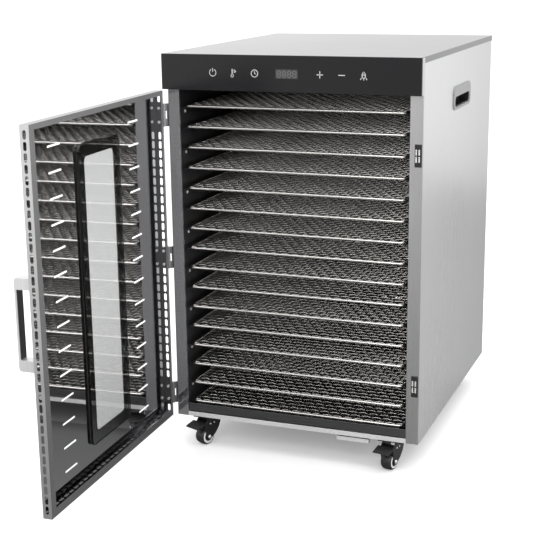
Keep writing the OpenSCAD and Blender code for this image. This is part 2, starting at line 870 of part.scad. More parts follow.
fork(2);  // rear_left_fork
wheel(2);  // rear_left_wheel
brake(2);  // rear_left_brake
fork(3);  // rear_right_fork
wheel(3);  // rear_right_wheel
brake(3);  // rear_right_brake
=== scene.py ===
import json
import math

import bmesh
import bpy
from mathutils import Matrix, Vector


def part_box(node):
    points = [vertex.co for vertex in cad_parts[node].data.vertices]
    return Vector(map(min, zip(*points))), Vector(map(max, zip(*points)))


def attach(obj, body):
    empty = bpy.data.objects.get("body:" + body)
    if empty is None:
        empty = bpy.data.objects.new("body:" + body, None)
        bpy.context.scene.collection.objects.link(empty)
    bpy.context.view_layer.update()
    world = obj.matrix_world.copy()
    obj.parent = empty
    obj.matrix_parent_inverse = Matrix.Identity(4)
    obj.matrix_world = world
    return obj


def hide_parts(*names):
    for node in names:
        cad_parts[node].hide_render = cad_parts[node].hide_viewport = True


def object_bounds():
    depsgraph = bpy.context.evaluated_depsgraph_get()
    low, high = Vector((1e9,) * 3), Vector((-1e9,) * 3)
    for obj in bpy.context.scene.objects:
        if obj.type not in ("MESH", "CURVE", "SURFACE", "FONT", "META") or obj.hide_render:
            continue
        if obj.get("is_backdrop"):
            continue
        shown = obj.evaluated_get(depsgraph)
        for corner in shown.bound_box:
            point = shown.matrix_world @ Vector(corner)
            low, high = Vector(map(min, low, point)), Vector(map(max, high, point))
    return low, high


# A tray food dehydrator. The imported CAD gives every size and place; this script adds the woven
# trays, rounded edges, screws, icons, castor details, finishes, light and camera.

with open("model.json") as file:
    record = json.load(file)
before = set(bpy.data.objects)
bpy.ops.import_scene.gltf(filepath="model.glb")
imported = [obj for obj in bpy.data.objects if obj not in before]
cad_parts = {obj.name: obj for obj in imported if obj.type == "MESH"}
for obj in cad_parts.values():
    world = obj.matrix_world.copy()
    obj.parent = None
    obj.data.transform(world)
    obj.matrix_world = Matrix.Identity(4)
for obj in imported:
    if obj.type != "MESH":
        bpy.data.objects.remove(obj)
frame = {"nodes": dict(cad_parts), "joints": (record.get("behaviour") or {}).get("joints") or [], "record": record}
CAD_LOW, CAD_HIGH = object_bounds()
NODES = frame["nodes"]
BODY_OF = {n: b for b, ns in frame["record"]["behaviour"]["bodies"].items() for n in ns}
SLOT_OF = {p["node"]: p["material_slot"] for p in frame["record"]["subparts"]}
JOINTS = {j["name"]: j for j in frame["joints"]}
MM = 0.001
WELD = 1e-6
EDGE_ANGLE = 35
FLAT_ANGLE = 0.3
CORNERS = ("front_left", "front_right", "rear_left", "rear_right")
# Where the painted gradients of light and shade start and end along each axis
PAINTED_LIGHT_SPAN = {"X": (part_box("base_panel")[0].x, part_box("base_panel")[1].x),
             "Y": (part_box("left_side_panel")[0].y, CAD_HIGH.y),
             "Z": (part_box("base_panel")[0].z, CAD_HIGH.z)}

# ---- Materials ----

# Where most of one noise's values lie, where most of the sum of two lie, and the relief's height
NOISE_SPAN = (0.3, 0.7)
NOISE_SUM_SPAN = (0.6, 1.4)
RELIEF = 0.2 * MM


def remap(nodes, from_min, from_max, to_min=0.0, to_max=1.0):
    made = nodes.new("ShaderNodeMapRange")
    for socket, value in (("From Min", from_min), ("From Max", from_max),
                          ("To Min", to_min), ("To Max", to_max)):
        made.inputs[socket].default_value = value
    return made


def mixed(colour, factor):
    return tuple(min(1.0, c * factor) for c in colour) + (1.0,)


def finish(name, colour, rough, metallic=0.0, scale=(300, 300, 300), vary=0.05, spread=0.05,
           bump=0.08, coat=0.0, transmission=0.0, ior=1.5, specular=0.5, cloud=3.0, painted_light_ramp=None):
    """A material whose colour, roughness and bump come from noise in the piece's own space.

    The last argument is an axis and the colour's factor at the cabinet's low and high end along it:
    light and shade painted as a gradient along that axis.
    """
    made = bpy.data.materials.new(name)
    made.use_nodes = True
    nodes, links = made.node_tree.nodes, made.node_tree.links
    nodes.clear()
    out = nodes.new("ShaderNodeOutputMaterial")
    shader = nodes.new("ShaderNodeBsdfPrincipled")
    links.new(shader.outputs["BSDF"], out.inputs["Surface"])
    place = nodes.new("ShaderNodeTexCoord")
    stretch = nodes.new("ShaderNodeMapping")
    stretch.inputs["Scale"].default_value = scale
    links.new(place.outputs["Object"], stretch.inputs["Vector"])
    grain = nodes.new("ShaderNodeTexNoise")
    grain.inputs["Scale"].default_value = 1.0
    grain.inputs["Detail"].default_value = 3.0
    links.new(stretch.outputs["Vector"], grain.inputs["Vector"])
    clouds = nodes.new("ShaderNodeTexNoise")
    clouds.inputs["Scale"].default_value = cloud
    clouds.inputs["Detail"].default_value = 2.0
    links.new(place.outputs["Object"], clouds.inputs["Vector"])
    ramp = nodes.new("ShaderNodeValToRGB")
    for stop, at, factor in zip(ramp.color_ramp.elements, NOISE_SPAN, (1 - vary, 1 + vary)):
        stop.position = at
        stop.color = mixed(colour, factor)
    links.new(grain.outputs["Fac"], ramp.inputs["Fac"])
    # Light and shade painted into the colour as a gradient along one axis
    if painted_light_ramp:
        axis, low_factor, high_factor = painted_light_ramp
        along = nodes.new("ShaderNodeSeparateXYZ")
        links.new(place.outputs["Object"], along.inputs["Vector"])
        level = remap(nodes, *PAINTED_LIGHT_SPAN[axis], low_factor, high_factor)
        links.new(along.outputs[axis], level.inputs["Value"])
        shade = nodes.new("ShaderNodeVectorMath")
        shade.operation = "SCALE"
        links.new(ramp.outputs["Color"], shade.inputs[0])
        links.new(level.outputs["Result"], shade.inputs["Scale"])
        links.new(shade.outputs["Vector"], shader.inputs["Base Color"])
    else:
        links.new(ramp.outputs["Color"], shader.inputs["Base Color"])
    both = nodes.new("ShaderNodeMath")
    both.operation = "ADD"
    links.new(grain.outputs["Fac"], both.inputs[0])
    links.new(clouds.outputs["Fac"], both.inputs[1])
    level = remap(nodes, *NOISE_SUM_SPAN, max(0.0, rough - spread), min(1.0, rough + spread))
    links.new(both.outputs["Value"], level.inputs["Value"])
    links.new(level.outputs["Result"], shader.inputs["Roughness"])
    if bump:
        relief = nodes.new("ShaderNodeBump")
        relief.inputs["Strength"].default_value = bump
        relief.inputs["Distance"].default_value = RELIEF
        links.new(grain.outputs["Fac"], relief.inputs["Height"])
        links.new(relief.outputs["Normal"], shader.inputs["Normal"])
    shader.inputs["Metallic"].default_value = metallic
    shader.inputs["Coat Weight"].default_value = coat
    shader.inputs["Transmission Weight"].default_value = transmission
    shader.inputs["IOR"].default_value = ior
    shader.inputs["Specular IOR Level"].default_value = specular
    return made


# Brushed grain is fine across the strokes and long along them
FINE, ALONG = 900, 12
BRUSH_X = (ALONG, FINE, FINE)
BRUSH_Z = (FINE, FINE, ALONG)
STEEL = (0.76, 0.76, 0.765)
FINISHES = {
    "brushed_steel": finish("brushed steel", STEEL, 0.30, 1.0, BRUSH_Z, 0.03, 0.05, 0.05),
    # The side panels: a lighter copy of the steel, painted light, with painted shade towards the back
    "side_steel": finish("side steel", (0.84, 0.84, 0.845), 0.30, 1.0, BRUSH_Z, 0.03, 0.05, 0.05,
                         painted_light_ramp=("Y", 1.05, 0.84)),
    # The top: a darker copy of the steel, with painted shade deepening towards the right
    "top_steel": finish("top steel", (0.66, 0.66, 0.665), 0.30, 1.0, BRUSH_X, 0.05, 0.06, 0.06,
                        painted_light_ramp=("X", 1.0, 0.82)),
    # The sill's front faces: a partly matt copy of the steel that looks lit, painted light
    "sill_steel": finish("sill steel", (0.66, 0.66, 0.66), 0.40, 0.40, BRUSH_X, 0.06, 0.06, 0.08),
    # The top cover's faces towards left and right: a much darker copy of the steel, painted shade
    "flange_steel": finish("flange steel", (0.29, 0.29, 0.295), 0.30, 1.0, BRUSH_X, 0.05, 0.05,
                           0.05),
    "brushed_across": finish("steel brushed across", STEEL, 0.30, 1.0, BRUSH_X, 0.06, 0.06, 0.08),
    "door_steel": finish("door steel", (0.62, 0.62, 0.63), 0.30, 1.0, BRUSH_Z, 0.03, 0.05, 0.03),
    "door_mirror": finish("door mirror", (0.66, 0.66, 0.67), 0.03, 1.0, BRUSH_Z, 0.02, 0.01, 0.0),
    # The door's lips: a dark, partly matt copy of the steel, painted shade deepening downwards
    "door_lip": finish("door lip", (0.25, 0.25, 0.255), 0.34, 0.40, BRUSH_Z, 0.03, 0.05, 0.03,
                       painted_light_ramp=("Z", 0.45, 1.0)),
    # The door's foot lip: a lighter, partly matt copy of the steel, painted light
    "door_foot": finish("door foot lip", (0.55, 0.55, 0.55), 0.34, 0.50, BRUSH_X, 0.05, 0.05, 0.04),
    # The insides of the door's folds: a dark copy of the steel, painted shade
    "door_inside": finish("door folds inside", (0.20, 0.20, 0.205), 0.22, 1.0, BRUSH_Z, 0.05, 0.05,
                          0.02),
    # The door's free edge: a light copy of the steel, painted light, with painted shade downwards
    "door_edge": finish("door edge", (0.88, 0.88, 0.88), 0.38, 1.0, BRUSH_Z, 0.03, 0.05, 0.03,
                        painted_light_ramp=("Z", 0.75, 1.0)),
    # The left jamb: polished steel with a painted reflection, lighter towards the bottom
    "jamb_painted_reflection": finish("jamb with painted reflection", (0.60, 0.60, 0.61), 0.12, 1.0, BRUSH_Z, 0.04, 0.03, 0.01,
                          painted_light_ramp=("Z", 1.3, 0.9)),
    "polished_steel": finish("polished steel", (0.62, 0.62, 0.63), 0.18, 1.0, vary=0.03, bump=0.02),
    "handle_steel": finish("handle steel", (0.90, 0.90, 0.90), 0.36, 0.85, BRUSH_Z, 0.04, 0.05,
                           0.04),
    "screw_steel": finish("screw steel", (0.92, 0.92, 0.91), 0.28, 0.7, vary=0.04, bump=0.02),
    "dark_steel": finish("dark steel", (0.21, 0.21, 0.215), 0.30, 1.0, BRUSH_X, 0.08, 0.06, 0.05),
    "tray_wire": finish("tray wire", (0.86, 0.84, 0.81), 0.24, 1.0, vary=0.05, bump=0.02),
    # Wires from front to back: a dark copy of the tray wire, painted shade
    "deep_wire": finish("tray wire front to back", (0.16, 0.155, 0.15), 0.30, 1.0, vary=0.05,
                        bump=0.02),
    "fan_metal": finish("fan metal", (0.60, 0.61, 0.62), 0.35, 1.0, vary=0.05),
    "heater_sheath": finish("heater sheath", (0.30, 0.25, 0.21), 0.45, 0.9, vary=0.12),
    "black_liner": finish("black liner", (0.016, 0.016, 0.017), 0.34, 0.0, vary=0.15),
    "black_metal": finish("black metal", (0.012, 0.012, 0.012), 0.36, 0.0, vary=0.15, bump=0.10),
    "black_glass": finish("black glass", (0.008, 0.008, 0.009), 0.20, 0.0, vary=0.05, spread=0.02,
                          bump=0.0, specular=0.42),
    # Clear glass with a grey tint, and painted shade that darkens it towards the bottom
    "clear_glass": finish("clear glass", (0.56, 0.565, 0.565), 0.02, 0.0, vary=0.01, spread=0.015,
                          bump=0.0, transmission=1.0, ior=1.45, painted_light_ramp=("Z", 0.62, 1.0)),
    "black_seal": finish("black seal", (0.010, 0.010, 0.010), 0.30, 0.0, vary=0.15),
    "black_plastic": finish("black plastic", (0.013, 0.013, 0.013), 0.40, 0.0, vary=0.12),
    "grey_plastic": finish("grey plastic", (0.25, 0.25, 0.255), 0.42, 0.0, vary=0.05),
    "lamp_cover": finish("lamp cover", (0.75, 0.73, 0.67), 0.35, 0.0, vary=0.03),
    "ceramic": finish("ceramic", (0.66, 0.62, 0.52), 0.5, 0.0, vary=0.05),
    "circuit_board": finish("circuit board", (0.02, 0.10, 0.04), 0.42, 0.0, vary=0.15),
    "castor_wheel": finish("castor tread", (0.020, 0.020, 0.020), 0.42, 0.0, vary=0.18),
}
PRINT = finish("white print", (0.50, 0.50, 0.50), 0.5, 0.0, vary=0.04, bump=0.0)
DIM_PRINT = finish("dim segments", (0.17, 0.17, 0.17), 0.4, 0.0, vary=0.06, bump=0.0)
FAINT_PRINT = finish("display window", (0.034, 0.034, 0.034), 0.3, 0.0, vary=0.06, bump=0.0)
RING = finish("castor ring", (0.62, 0.62, 0.61), 0.45, 0.0, vary=0.05)

# ---- Mesh helpers ----


def welded(node):
    """The CAD node's mesh with its split corners joined and its flat faces made whole."""
    made = bmesh.new()
    made.from_mesh(NODES[node].data)
    bmesh.ops.remove_doubles(made, verts=made.verts, dist=WELD)
    bmesh.ops.dissolve_limit(made, angle_limit=math.radians(FLAT_ANGLE), verts=made.verts,
                             edges=made.edges)
    return made


def islands(node):
    """Lists of vertices, one for each separate solid of a CAD node."""
    made = bmesh.new()
    made.from_mesh(NODES[node].data)
    bmesh.ops.remove_doubles(made, verts=made.verts, dist=WELD)
    seen, found = set(), []
    for start in made.verts:
        if start.index in seen:
            continue
        stack, part = [start], []
        seen.add(start.index)
        while stack:
            v = stack.pop()
            part.append(v.co.copy())
            for e in v.link_edges:
                other = e.other_vert(v)
                if other.index not in seen:
                    seen.add(other.index)
                    stack.append(other)
        found.append(part)
    made.free()
    return found


def limits(points):
    low = Vector(min(p[i] for p in points) for i in range(3))
    return low, Vector(max(p[i] for p in points) for i in range(3))


def shown(name, made, body, look):
    """Turns a bmesh into an object that rides on a body, smooth but for its sharp edges."""
    sharp = math.radians(EDGE_ANGLE)
    bmesh.ops.recalc_face_normals(made, faces=made.faces)
    for f in made.faces:
        f.smooth = True
    for e in made.edges:
        e.smooth = len(e.link_faces) == 2 and e.calc_face_angle(0) < sharp
    mesh = bpy.data.meshes.new(name)
    made.to_mesh(mesh)
    made.free()
    mesh.materials.append(look)
    return placed(name, mesh, body)


def placed(name, mesh, body):
    obj = bpy.data.objects.new(name, mesh)
    bpy.context.scene.collection.objects.link(obj)
    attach(obj, body)
    return obj


def softened(node, width=0.3, look=None, segments=2, areas=()):
    """A copy of a CAD node with small rounds on its sharp edges, shown in its place.

    areas lists other finishes, each with a test of a face's middle and direction.
    """
    slot = SLOT_OF[node]
    obj = shown(node + "_finished", welded(node), BODY_OF[node], look or FINISHES[slot])
    for number, (other, inside) in enumerate(areas, 1):
        obj.data.materials.append(FINISHES[other])
        for face in obj.data.polygons:
            if inside(face.center, face.normal):
                face.material_index = number
    round_edges = obj.modifiers.new("rounds", "BEVEL")
    round_edges.width = width * MM
    round_edges.segments = segments
    round_edges.limit_method = "ANGLE"
    round_edges.angle_limit = math.radians(EDGE_ANGLE)
    round_edges.harden_normals = True
    round_edges.use_clamp_overlap = True
    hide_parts(node)
    return obj


def tube(made, path, radius, sides, closed=False, up=Vector((0, 0, 1))):
    """A round bar along a path that lies mostly across up."""
    rings, count = [], len(path)
    for i, p in enumerate(path):
        before = path[(i - 1) % count] if closed or i else p
        after = path[(i + 1) % count] if closed or i < count - 1 else p
        along = (after - before).normalized()
        side = along.cross(up).normalized()
        top = side.cross(along)
        turn = [2 * math.pi * k / sides for k in range(sides)]
        rings.append([made.verts.new(p + radius * (math.cos(a) * side + math.sin(a) * top))
                      for a in turn])
    for i in range(count if closed else count - 1):
        one, two = rings[i], rings[(i + 1) % count]
        for k in range(sides):
            made.faces.new((one[k], one[(k + 1) % sides], two[(k + 1) % sides], two[k]))
    if not closed:
        made.faces.new(rings[0])
        made.faces.new(rings[-1])


def prism(made, outline, low, high):
    """A solid between two planes square to Y from an outline of (x, z) points."""
    front = [made.verts.new((x, low, z)) for x, z in outline]
    back = [made.verts.new((x, high, z)) for x, z in outline]
    made.faces.new(front)
    made.faces.new(back)
    for i in range(len(outline)):
        j = (i + 1) % len(outline)
        made.faces.new((front[i], front[j], back[j], back[i]))


def rounded_outline(cx, cz, w, h, r, steps=6):
    points = []
    for sx, sz, start in ((1, 1, 0), (-1, 1, 90), (-1, -1, 180), (1, -1, 270)):
        for k in range(steps + 1):
            a = math.radians(start + 90 * k / steps)
            points.append((cx + sx * (w / 2 - r) + r * math.cos(a),
                           cz + sz * (h / 2 - r) + r * math.sin(a)))
    return points


def lathed(made, profile, place, segments=48):
    """Turns a closed outline of (radius, height) about the local Z of the matrix place."""
    rings = []
    for r, z in profile:
        turn = [2 * math.pi * k / segments for k in range(segments)]
        if r < 1e-7:
            rings.append([made.verts.new(place @ Vector((0, 0, z)))])
        else:
            rings.append([made.verts.new(place @ Vector((r * math.cos(a), r * math.sin(a), z)))
                          for a in turn])
    for one, two in zip(rings, rings[1:]):
        for k in range(segments):
            a, b = one[k % len(one)], one[(k + 1) % len(one)]
            c, d = two[(k + 1) % len(two)], two[k % len(two)]
            corners = [v for i, v in enumerate((a, b, c, d)) if v not in (a, b, c, d)[:i]]
            if len(corners) > 2:
                made.faces.new(corners)


def stroke(made, points, width, low, high, closed=False):
    """A flat line of even width, facing -Y, through (x, z) points."""
    count, left, right = len(points), [], []
    for i, p in enumerate(points):
        before = points[(i - 1) % count] if closed or i else p
        after = points[(i + 1) % count] if closed or i < count - 1 else p
        dx, dz = after[0] - before[0], after[1] - before[1]
        length = math.hypot(dx, dz)
        nx, nz = -dz / length * width / 2, dx / length * width / 2
        left.append((p[0] + nx, p[1] + nz))
        right.append((p[0] - nx, p[1] - nz))
    for i in range(count if closed else count - 1):
        j = (i + 1) % count
        prism(made, [left[i], left[j], right[j], right[i]], low, high)


def arc(cx, cz, r, start, end, steps=24):
    turn = [math.radians(start + (end - start) * k / steps) for k in range(steps + 1)]
    return [(cx + r * math.cos(a), cz + r * math.sin(a)) for a in turn]


# ---- Cabinet, door and plain fittings: the CAD shapes with small rounds ----

# The door is packed open, and these matrices turn it shut and open again
hinge = JOINTS["door_hinge"]
pin = Vector(hinge["pos_m"])
closing = Matrix.Translation(pin) @ Matrix.Rotation(
    -math.radians(hinge["range_deg"][0]), 4, "Z") @ Matrix.Translation(-pin)
opening = closing.inverted()
door_low, door_high = limits([closing @ v.co for v in NODES["door_pan"].data.vertices])

# Tests that pick out the faces of the folded sheets with a finish of their own, most of them
# copies of the steel with painted light and shade
LIP_MARGIN = 0.3 * MM
FACE_MARGIN = 0.2 * MM
SKIN_DEPTH = 1.6 * MM
FOOT_LIP_HEIGHT = 13 * MM
POCKET_INSET = 2.2 * MM
JAMB_DEPTH = 4 * MM


def is_lip(centre, normal):
    return (closing @ centre).y > door_high.y - LIP_MARGIN


def is_foot_lip(centre, normal):
    return is_lip(centre, normal) and centre.z < door_low.z + FOOT_LIP_HEIGHT


def is_skin_inside(centre, normal):
    return door_low.y + FACE_MARGIN < (closing @ centre).y < door_low.y + SKIN_DEPTH


def is_fold_inside(centre, normal):
    shut = closing @ centre
    return (door_low.y + SKIN_DEPTH <= shut.y < door_high.y - LIP_MARGIN and
            door_low.x + LIP_MARGIN < shut.x < door_high.x - LIP_MARGIN and
            door_low.z + LIP_MARGIN < shut.z < door_high.z - LIP_MARGIN)


def is_free_edge(centre, normal):
    return (closing @ centre).x > door_high.x - FACE_MARGIN


def is_flange(centre, normal):
    return abs(normal.x) > 0.7


def is_pocket(centre, normal):
    low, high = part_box("side_handles")
    return low.x + POCKET_INSET < centre.x < high.x - POCKET_INSET


def is_front(centre, normal):
    return normal.y < -0.7


def is_jamb(centre, normal):
    return normal.y < -0.15 and centre.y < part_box("left_side_panel")[0].y + JAMB_DEPTH


softened("back_panel", 0.25)
softened("control_housing", 0.25, FINISHES["brushed_across"])
# The base's front faces take the copy of the steel with painted light
softened("base_panel", 0.25, FINISHES["brushed_across"], areas=[("sill_steel", is_front)])
# The top with painted shade, and its flanges darker still with painted shade
softened("top_cover", 0.25, FINISHES["top_steel"], areas=[("flange_steel", is_flange)])
# The side panels carry painted light and shade, and the left jamb a painted reflection
softened("left_side_panel", 0.25, FINISHES["side_steel"], areas=[("jamb_painted_reflection", is_jamb)])
softened("right_side_panel", 0.25, FINISHES["side_steel"], areas=[("brushed_steel", is_jamb)])
# A later test overrules an earlier one. Besides the polished inner skin, the door's folds, lips
# and free edge take copies of the steel with painted light and shade
softened("door_pan", 0.25, areas=[("door_mirror", is_skin_inside), ("door_inside", is_fold_inside),
                                  ("door_edge", is_free_edge), ("door_lip", is_lip),
                                  ("door_foot", is_foot_lip)])
for node in ("tray_rails", "drip_tray", "cabinet_hinge_leaves", "door_hinge_leaves", "door_screws",
             "castor_plates", "power_inlet", "fan_motors", "lower_fan_rotor", "upper_fan_rotor",
             "window_gasket", "interior_lamp"):
    softened(node, 0.25)
softened("control_glass", 0.6, segments=3)
softened("door_glass", 0.4)
softened("door_handle", 1.0, segments=3)
softened("side_handles", 0.7, segments=3, areas=[("black_plastic", is_pocket)])
for corner in CORNERS:
    softened(corner + "_fork", 0.5)
    softened(corner + "_brake", 0.6)
for node, obj in NODES.items():
    obj.data.materials.clear()
    obj.data.materials.append(FINISHES[SLOT_OF[node]])

# ---- Trays: a rod frame with woven wire ----

# Where a wire across meets one from front to back, one rises by LIFT and the other sinks by it
CROSS_R = 0.80 * MM
DEEP_R = 0.95 * MM
LIFT = (CROSS_R + DEEP_R) / 2
WIRE_PITCH = 9.1 * MM
ROW_PITCH = 14.5 * MM
ROD_SIDES = 12
WIRE_SIDES = 5
FRAME_BEND = 9 * MM
tray_low, tray_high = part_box("tray_01")


def tray_mesh():
    size = tray_high - tray_low
    rod = size.z / 2
    half = Vector((size.x / 2 - rod, size.y / 2 - rod, 0))
    outline = rounded_outline(0, 0, 2 * half.x, 2 * half.y, FRAME_BEND, 8)
    frame_mesh = bmesh.new()
    tube(frame_mesh, [Vector((x, y, 0)) for x, y in outline], rod, ROD_SIDES, closed=True)
    across = int(2 * half.x / WIRE_PITCH)
    deep = int(2 * half.y / ROW_PITCH)
    xs = [(i - (across - 1) / 2) * 2 * half.x / across for i in range(across)]
    ys = [(j - (deep - 1) / 2) * 2 * half.y / deep for j in range(deep)]

    def reach(offset, wide, long):
        """How far a wire at this offset runs before it meets the frame's rounded corner."""
        past = abs(offset) - (wide - FRAME_BEND)
        if past <= 0:
            return long
        return long - FRAME_BEND + math.sqrt(max(0.0, FRAME_BEND ** 2 - past * past))

    first_deep = len(frame_mesh.faces)
    for i, x in enumerate(xs):
        end = reach(x, half.x, half.y)
        path = [Vector((x, y, LIFT if (i + j) % 2 else -LIFT)) for j, y in enumerate(ys)]
        tube(frame_mesh, [Vector((x, -end, 0))] + path + [Vector((x, end, 0))], DEEP_R, WIRE_SIDES)
    first_cross = len(frame_mesh.faces)
    for j, y in enumerate(ys):
        end = reach(y, half.y, half.x)
        path = [Vector((x, y, -LIFT if (i + j) % 2 else LIFT)) for i, x in enumerate(xs)]
        tube(frame_mesh, [Vector((-end, y, 0))] + path + [Vector((end, y, 0))], CROSS_R, WIRE_SIDES)
    for number, f in enumerate(frame_mesh.faces):
        f.smooth = len(f.verts) == 4
        # The wires from front to back take the copy with painted shade
        f.material_index = 1 if first_deep <= number < first_cross else 0
    mesh = bpy.data.meshes.new("woven tray")
    frame_mesh.to_mesh(mesh)
    frame_mesh.free()
    mesh.materials.append(FINISHES["tray_wire"])
    mesh.materials.append(FINISHES["deep_wire"])
    return mesh


woven = tray_mesh()
for number in range(1, 17):
    node = f"tray_{number:02d}"
    low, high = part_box(node)
    tray = bpy.data.objects.new("woven_" + node, woven)
    bpy.context.scene.collection.objects.link(tray)
    tray.location = (low + high) / 2
    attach(tray, BODY_OF[node])
    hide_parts(node)

# ---- Screws: domed heads with a cross recess ----


# The head's outline, from its recess outwards, in shares of its radius and of the dome's height
HEAD_PROFILE = ((0, 0.45), (0.16, 0.45), (0.16, 0.98), (0.45, 1), (0.75, 0.86), (0.93, 0.55),
                (1, 0.2), (1, 0), (0.5, 0))
RECESS_LENGTH, RECESS_WIDTH, RECESS_DEPTH, RECESS_AT = 1.15, 0.24, 0.3, 0.86


def odd_side(size, i):
    """How much one side of a box differs from its other two: the axis of a screw differs most."""
    return abs(size[i] - size[(i + 1) % 3]) + abs(size[i] - size[(i + 2) % 3])


def screws(node):
    heads = bmesh.new()
    for part in islands(node):
        low, high = limits(part)
        size = high - low
        middle = (low + high) / 2
        axis = max(range(3), key=lambda i: odd_side(size, i))
        around = [i for i in range(3) if i != axis]
        wide = max(size[i] for i in around) / 2
        rim = [p for p in part
               if math.dist([p[i] for i in around], [middle[i] for i in around]) > 0.9 * wide]
        sign = 1 if sum(p[axis] for p in rim) / len(rim) > middle[axis] else -1
        out = Vector((0, 0, 0))
        out[axis] = sign
        top = high[axis] if sign > 0 else low[axis]
        seat = (min if sign > 0 else max)(p[axis] for p in rim)
        deep = abs(top - seat)
        base = middle.copy()
        base[axis] = seat
        place = Matrix.Translation(base) @ out.to_track_quat("Z", "X").to_matrix().to_4x4()
        tip = deep - size[axis]
        head = [(wide * r, deep * h) for r, h in HEAD_PROFILE]
        lathed(heads, head + [(wide * 0.5, tip), (0, tip)], place, 24)
        for spin in (0, 90):
            turn = place @ Matrix.Rotation(math.radians(spin), 4, "Z")
            slot_shape = bmesh.ops.create_cube(heads, size=1.0)
            bar = Matrix.Diagonal((wide * RECESS_LENGTH, wide * RECESS_WIDTH,
                                   deep * RECESS_DEPTH, 1))
            at = Matrix.Translation((0, 0, deep * RECESS_AT))
            bmesh.ops.transform(heads, verts=slot_shape["verts"], matrix=turn @ at @ bar)
    made = shown(node + "_heads", heads, BODY_OF[node], FINISHES["screw_steel"])
    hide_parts(node)


screws("cabinet_screws")

# ---- Control glass: printed icons and the display ----

glass_low, glass_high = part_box("control_glass")
MID_X = (glass_low.x + glass_high.x) / 2
MID_Z = (glass_low.z + glass_high.z) / 2
PRINT_FRONT = glass_low.y - 0.06 * MM
PRINT_BACK = glass_low.y + 0.02 * MM
LINE = 1.1 * MM


def icon(parts, x, z=0.0):
    """Adds strokes given in millimetres from the icon's middle."""
    for points, width, closed in parts:
        moved = [(MID_X + (x + px) * MM, MID_Z + (z + pz) * MM) for px, pz in points]
        stroke(icons, moved, width * LINE, PRINT_FRONT, PRINT_BACK, closed)


icons = bmesh.new()
icon([(arc(0, 0, 5.6, 118, 422), 1, False), ([(0, 7.0), (0, 1.0)], 1, False)], -126)
icon([([(-2.2, 6.2), (-2.2, -2.4)], 1.5, False), (arc(-2.2, -4.2, 2.2, 0, 360), 0.9, False),
      ([(0.6, 5.2), (4.4, 2.6), (0.8, 0.4)], 1.1, False),
      ([(0.8, 0.4), (1.4, 4.6)], 0.9, False)], -90)
icon([(arc(0, 0, 5.6, 0, 360), 1, False), ([(0, 3.6), (0, 0), (3.0, -1.2)], 0.9, False)], -54)
icon([([(-5.4, 0), (5.4, 0)], 1.15, False), ([(0, -5.4), (0, 5.4)], 1.15, False)], 55)
icon([([(-5.6, 0), (5.6, 0)], 1.15, False)], 90.5)
icon([([(-3.2, -0.4), (-2.0, 3.4), (0, 6.4), (2.0, 3.4), (3.2, -0.4)], 1, False),
      ([(-0.6, 5.2), (0, 6.0), (0.6, 5.2)], 1.4, False), (arc(0, -1.0, 2.6, 0, 360), 1, False),
      ([(-3.6, -3.2), (-5.4, -6.2)], 1, False), ([(3.6, -3.2), (5.4, -6.2)], 1, False),
      ([(0, -4.4), (0, -7.0)], 1, False)], 126)
shown("panel_icons", icons, "cabinet", PRINT)

WINDOW_W, WINDOW_H, WINDOW_R = 37.5 * MM, 15 * MM, 1.2 * MM
WINDOW_FRONT = glass_low.y - 0.03 * MM
display = bmesh.new()
window = rounded_outline(MID_X, MID_Z, WINDOW_W, WINDOW_H, WINDOW_R)
prism(display, window, WINDOW_FRONT, PRINT_BACK)
shown("display_window", display, "cabinet", FAINT_PRINT)

# In millimetres from the window's middle
DIGIT_W, DIGIT_H, DIGIT_PITCH, BAR, BAR_GAP_X, BAR_GAP_Z = 5.4, 9.6, 8.7, 1.3, 0.9, 0.8
digits = bmesh.new()


def segment(x1, z1, x2, z2):
    ends = [(MID_X + x1 * MM, MID_Z + z1 * MM), (MID_X + x2 * MM, MID_Z + z2 * MM)]
    stroke(digits, ends, BAR * MM, PRINT_FRONT, PRINT_BACK)


for k in range(4):
    cx = (k - 1.5) * DIGIT_PITCH
    for sz in (-1, 0, 1):
        z = sz * DIGIT_H / 2
        segment(cx - DIGIT_W / 2 + BAR_GAP_X, z, cx + DIGIT_W / 2 - BAR_GAP_X, z)
    for sx in (-1, 1):
        for sz in (-1, 1):
            x = cx + sx * DIGIT_W / 2
            segment(x, sz * BAR_GAP_Z, x, sz * (DIGIT_H / 2 - BAR_GAP_Z))
shown("display_digits", digits, "cabinet", DIM_PRINT)

# ---- Magnetic catches: a black case with four steel pole faces ----

POLE_W, POLE_H, POLE_R = 2.3 * MM, 9.2 * MM, 0.6 * MM
POLE_X, POLE_Z, POLE_SHIFT = 2.4 * MM, 5.6 * MM, -0.4 * MM
POLE_OUT, POLE_IN = 0.35 * MM, 0.5 * MM
poles = bmesh.new()
for part in islands("magnetic_catches"):
    low, high = limits(part)
    middle = (low + high) / 2
    for sx in (-1, 1):
        for sz in (-1, 1):
            outline = rounded_outline(middle.x + sx * POLE_X + POLE_SHIFT, middle.z + sz * POLE_Z,
                                      POLE_W, POLE_H, POLE_R, 3)
            prism(poles, outline, low.y - POLE_OUT, low.y + POLE_IN)
shown("catch_pole_plates", poles, "cabinet", FINISHES["screw_steel"])
softened("magnetic_catches", 0.9, segments=3)

# ---- Door: the black grip liner inside the handle ----

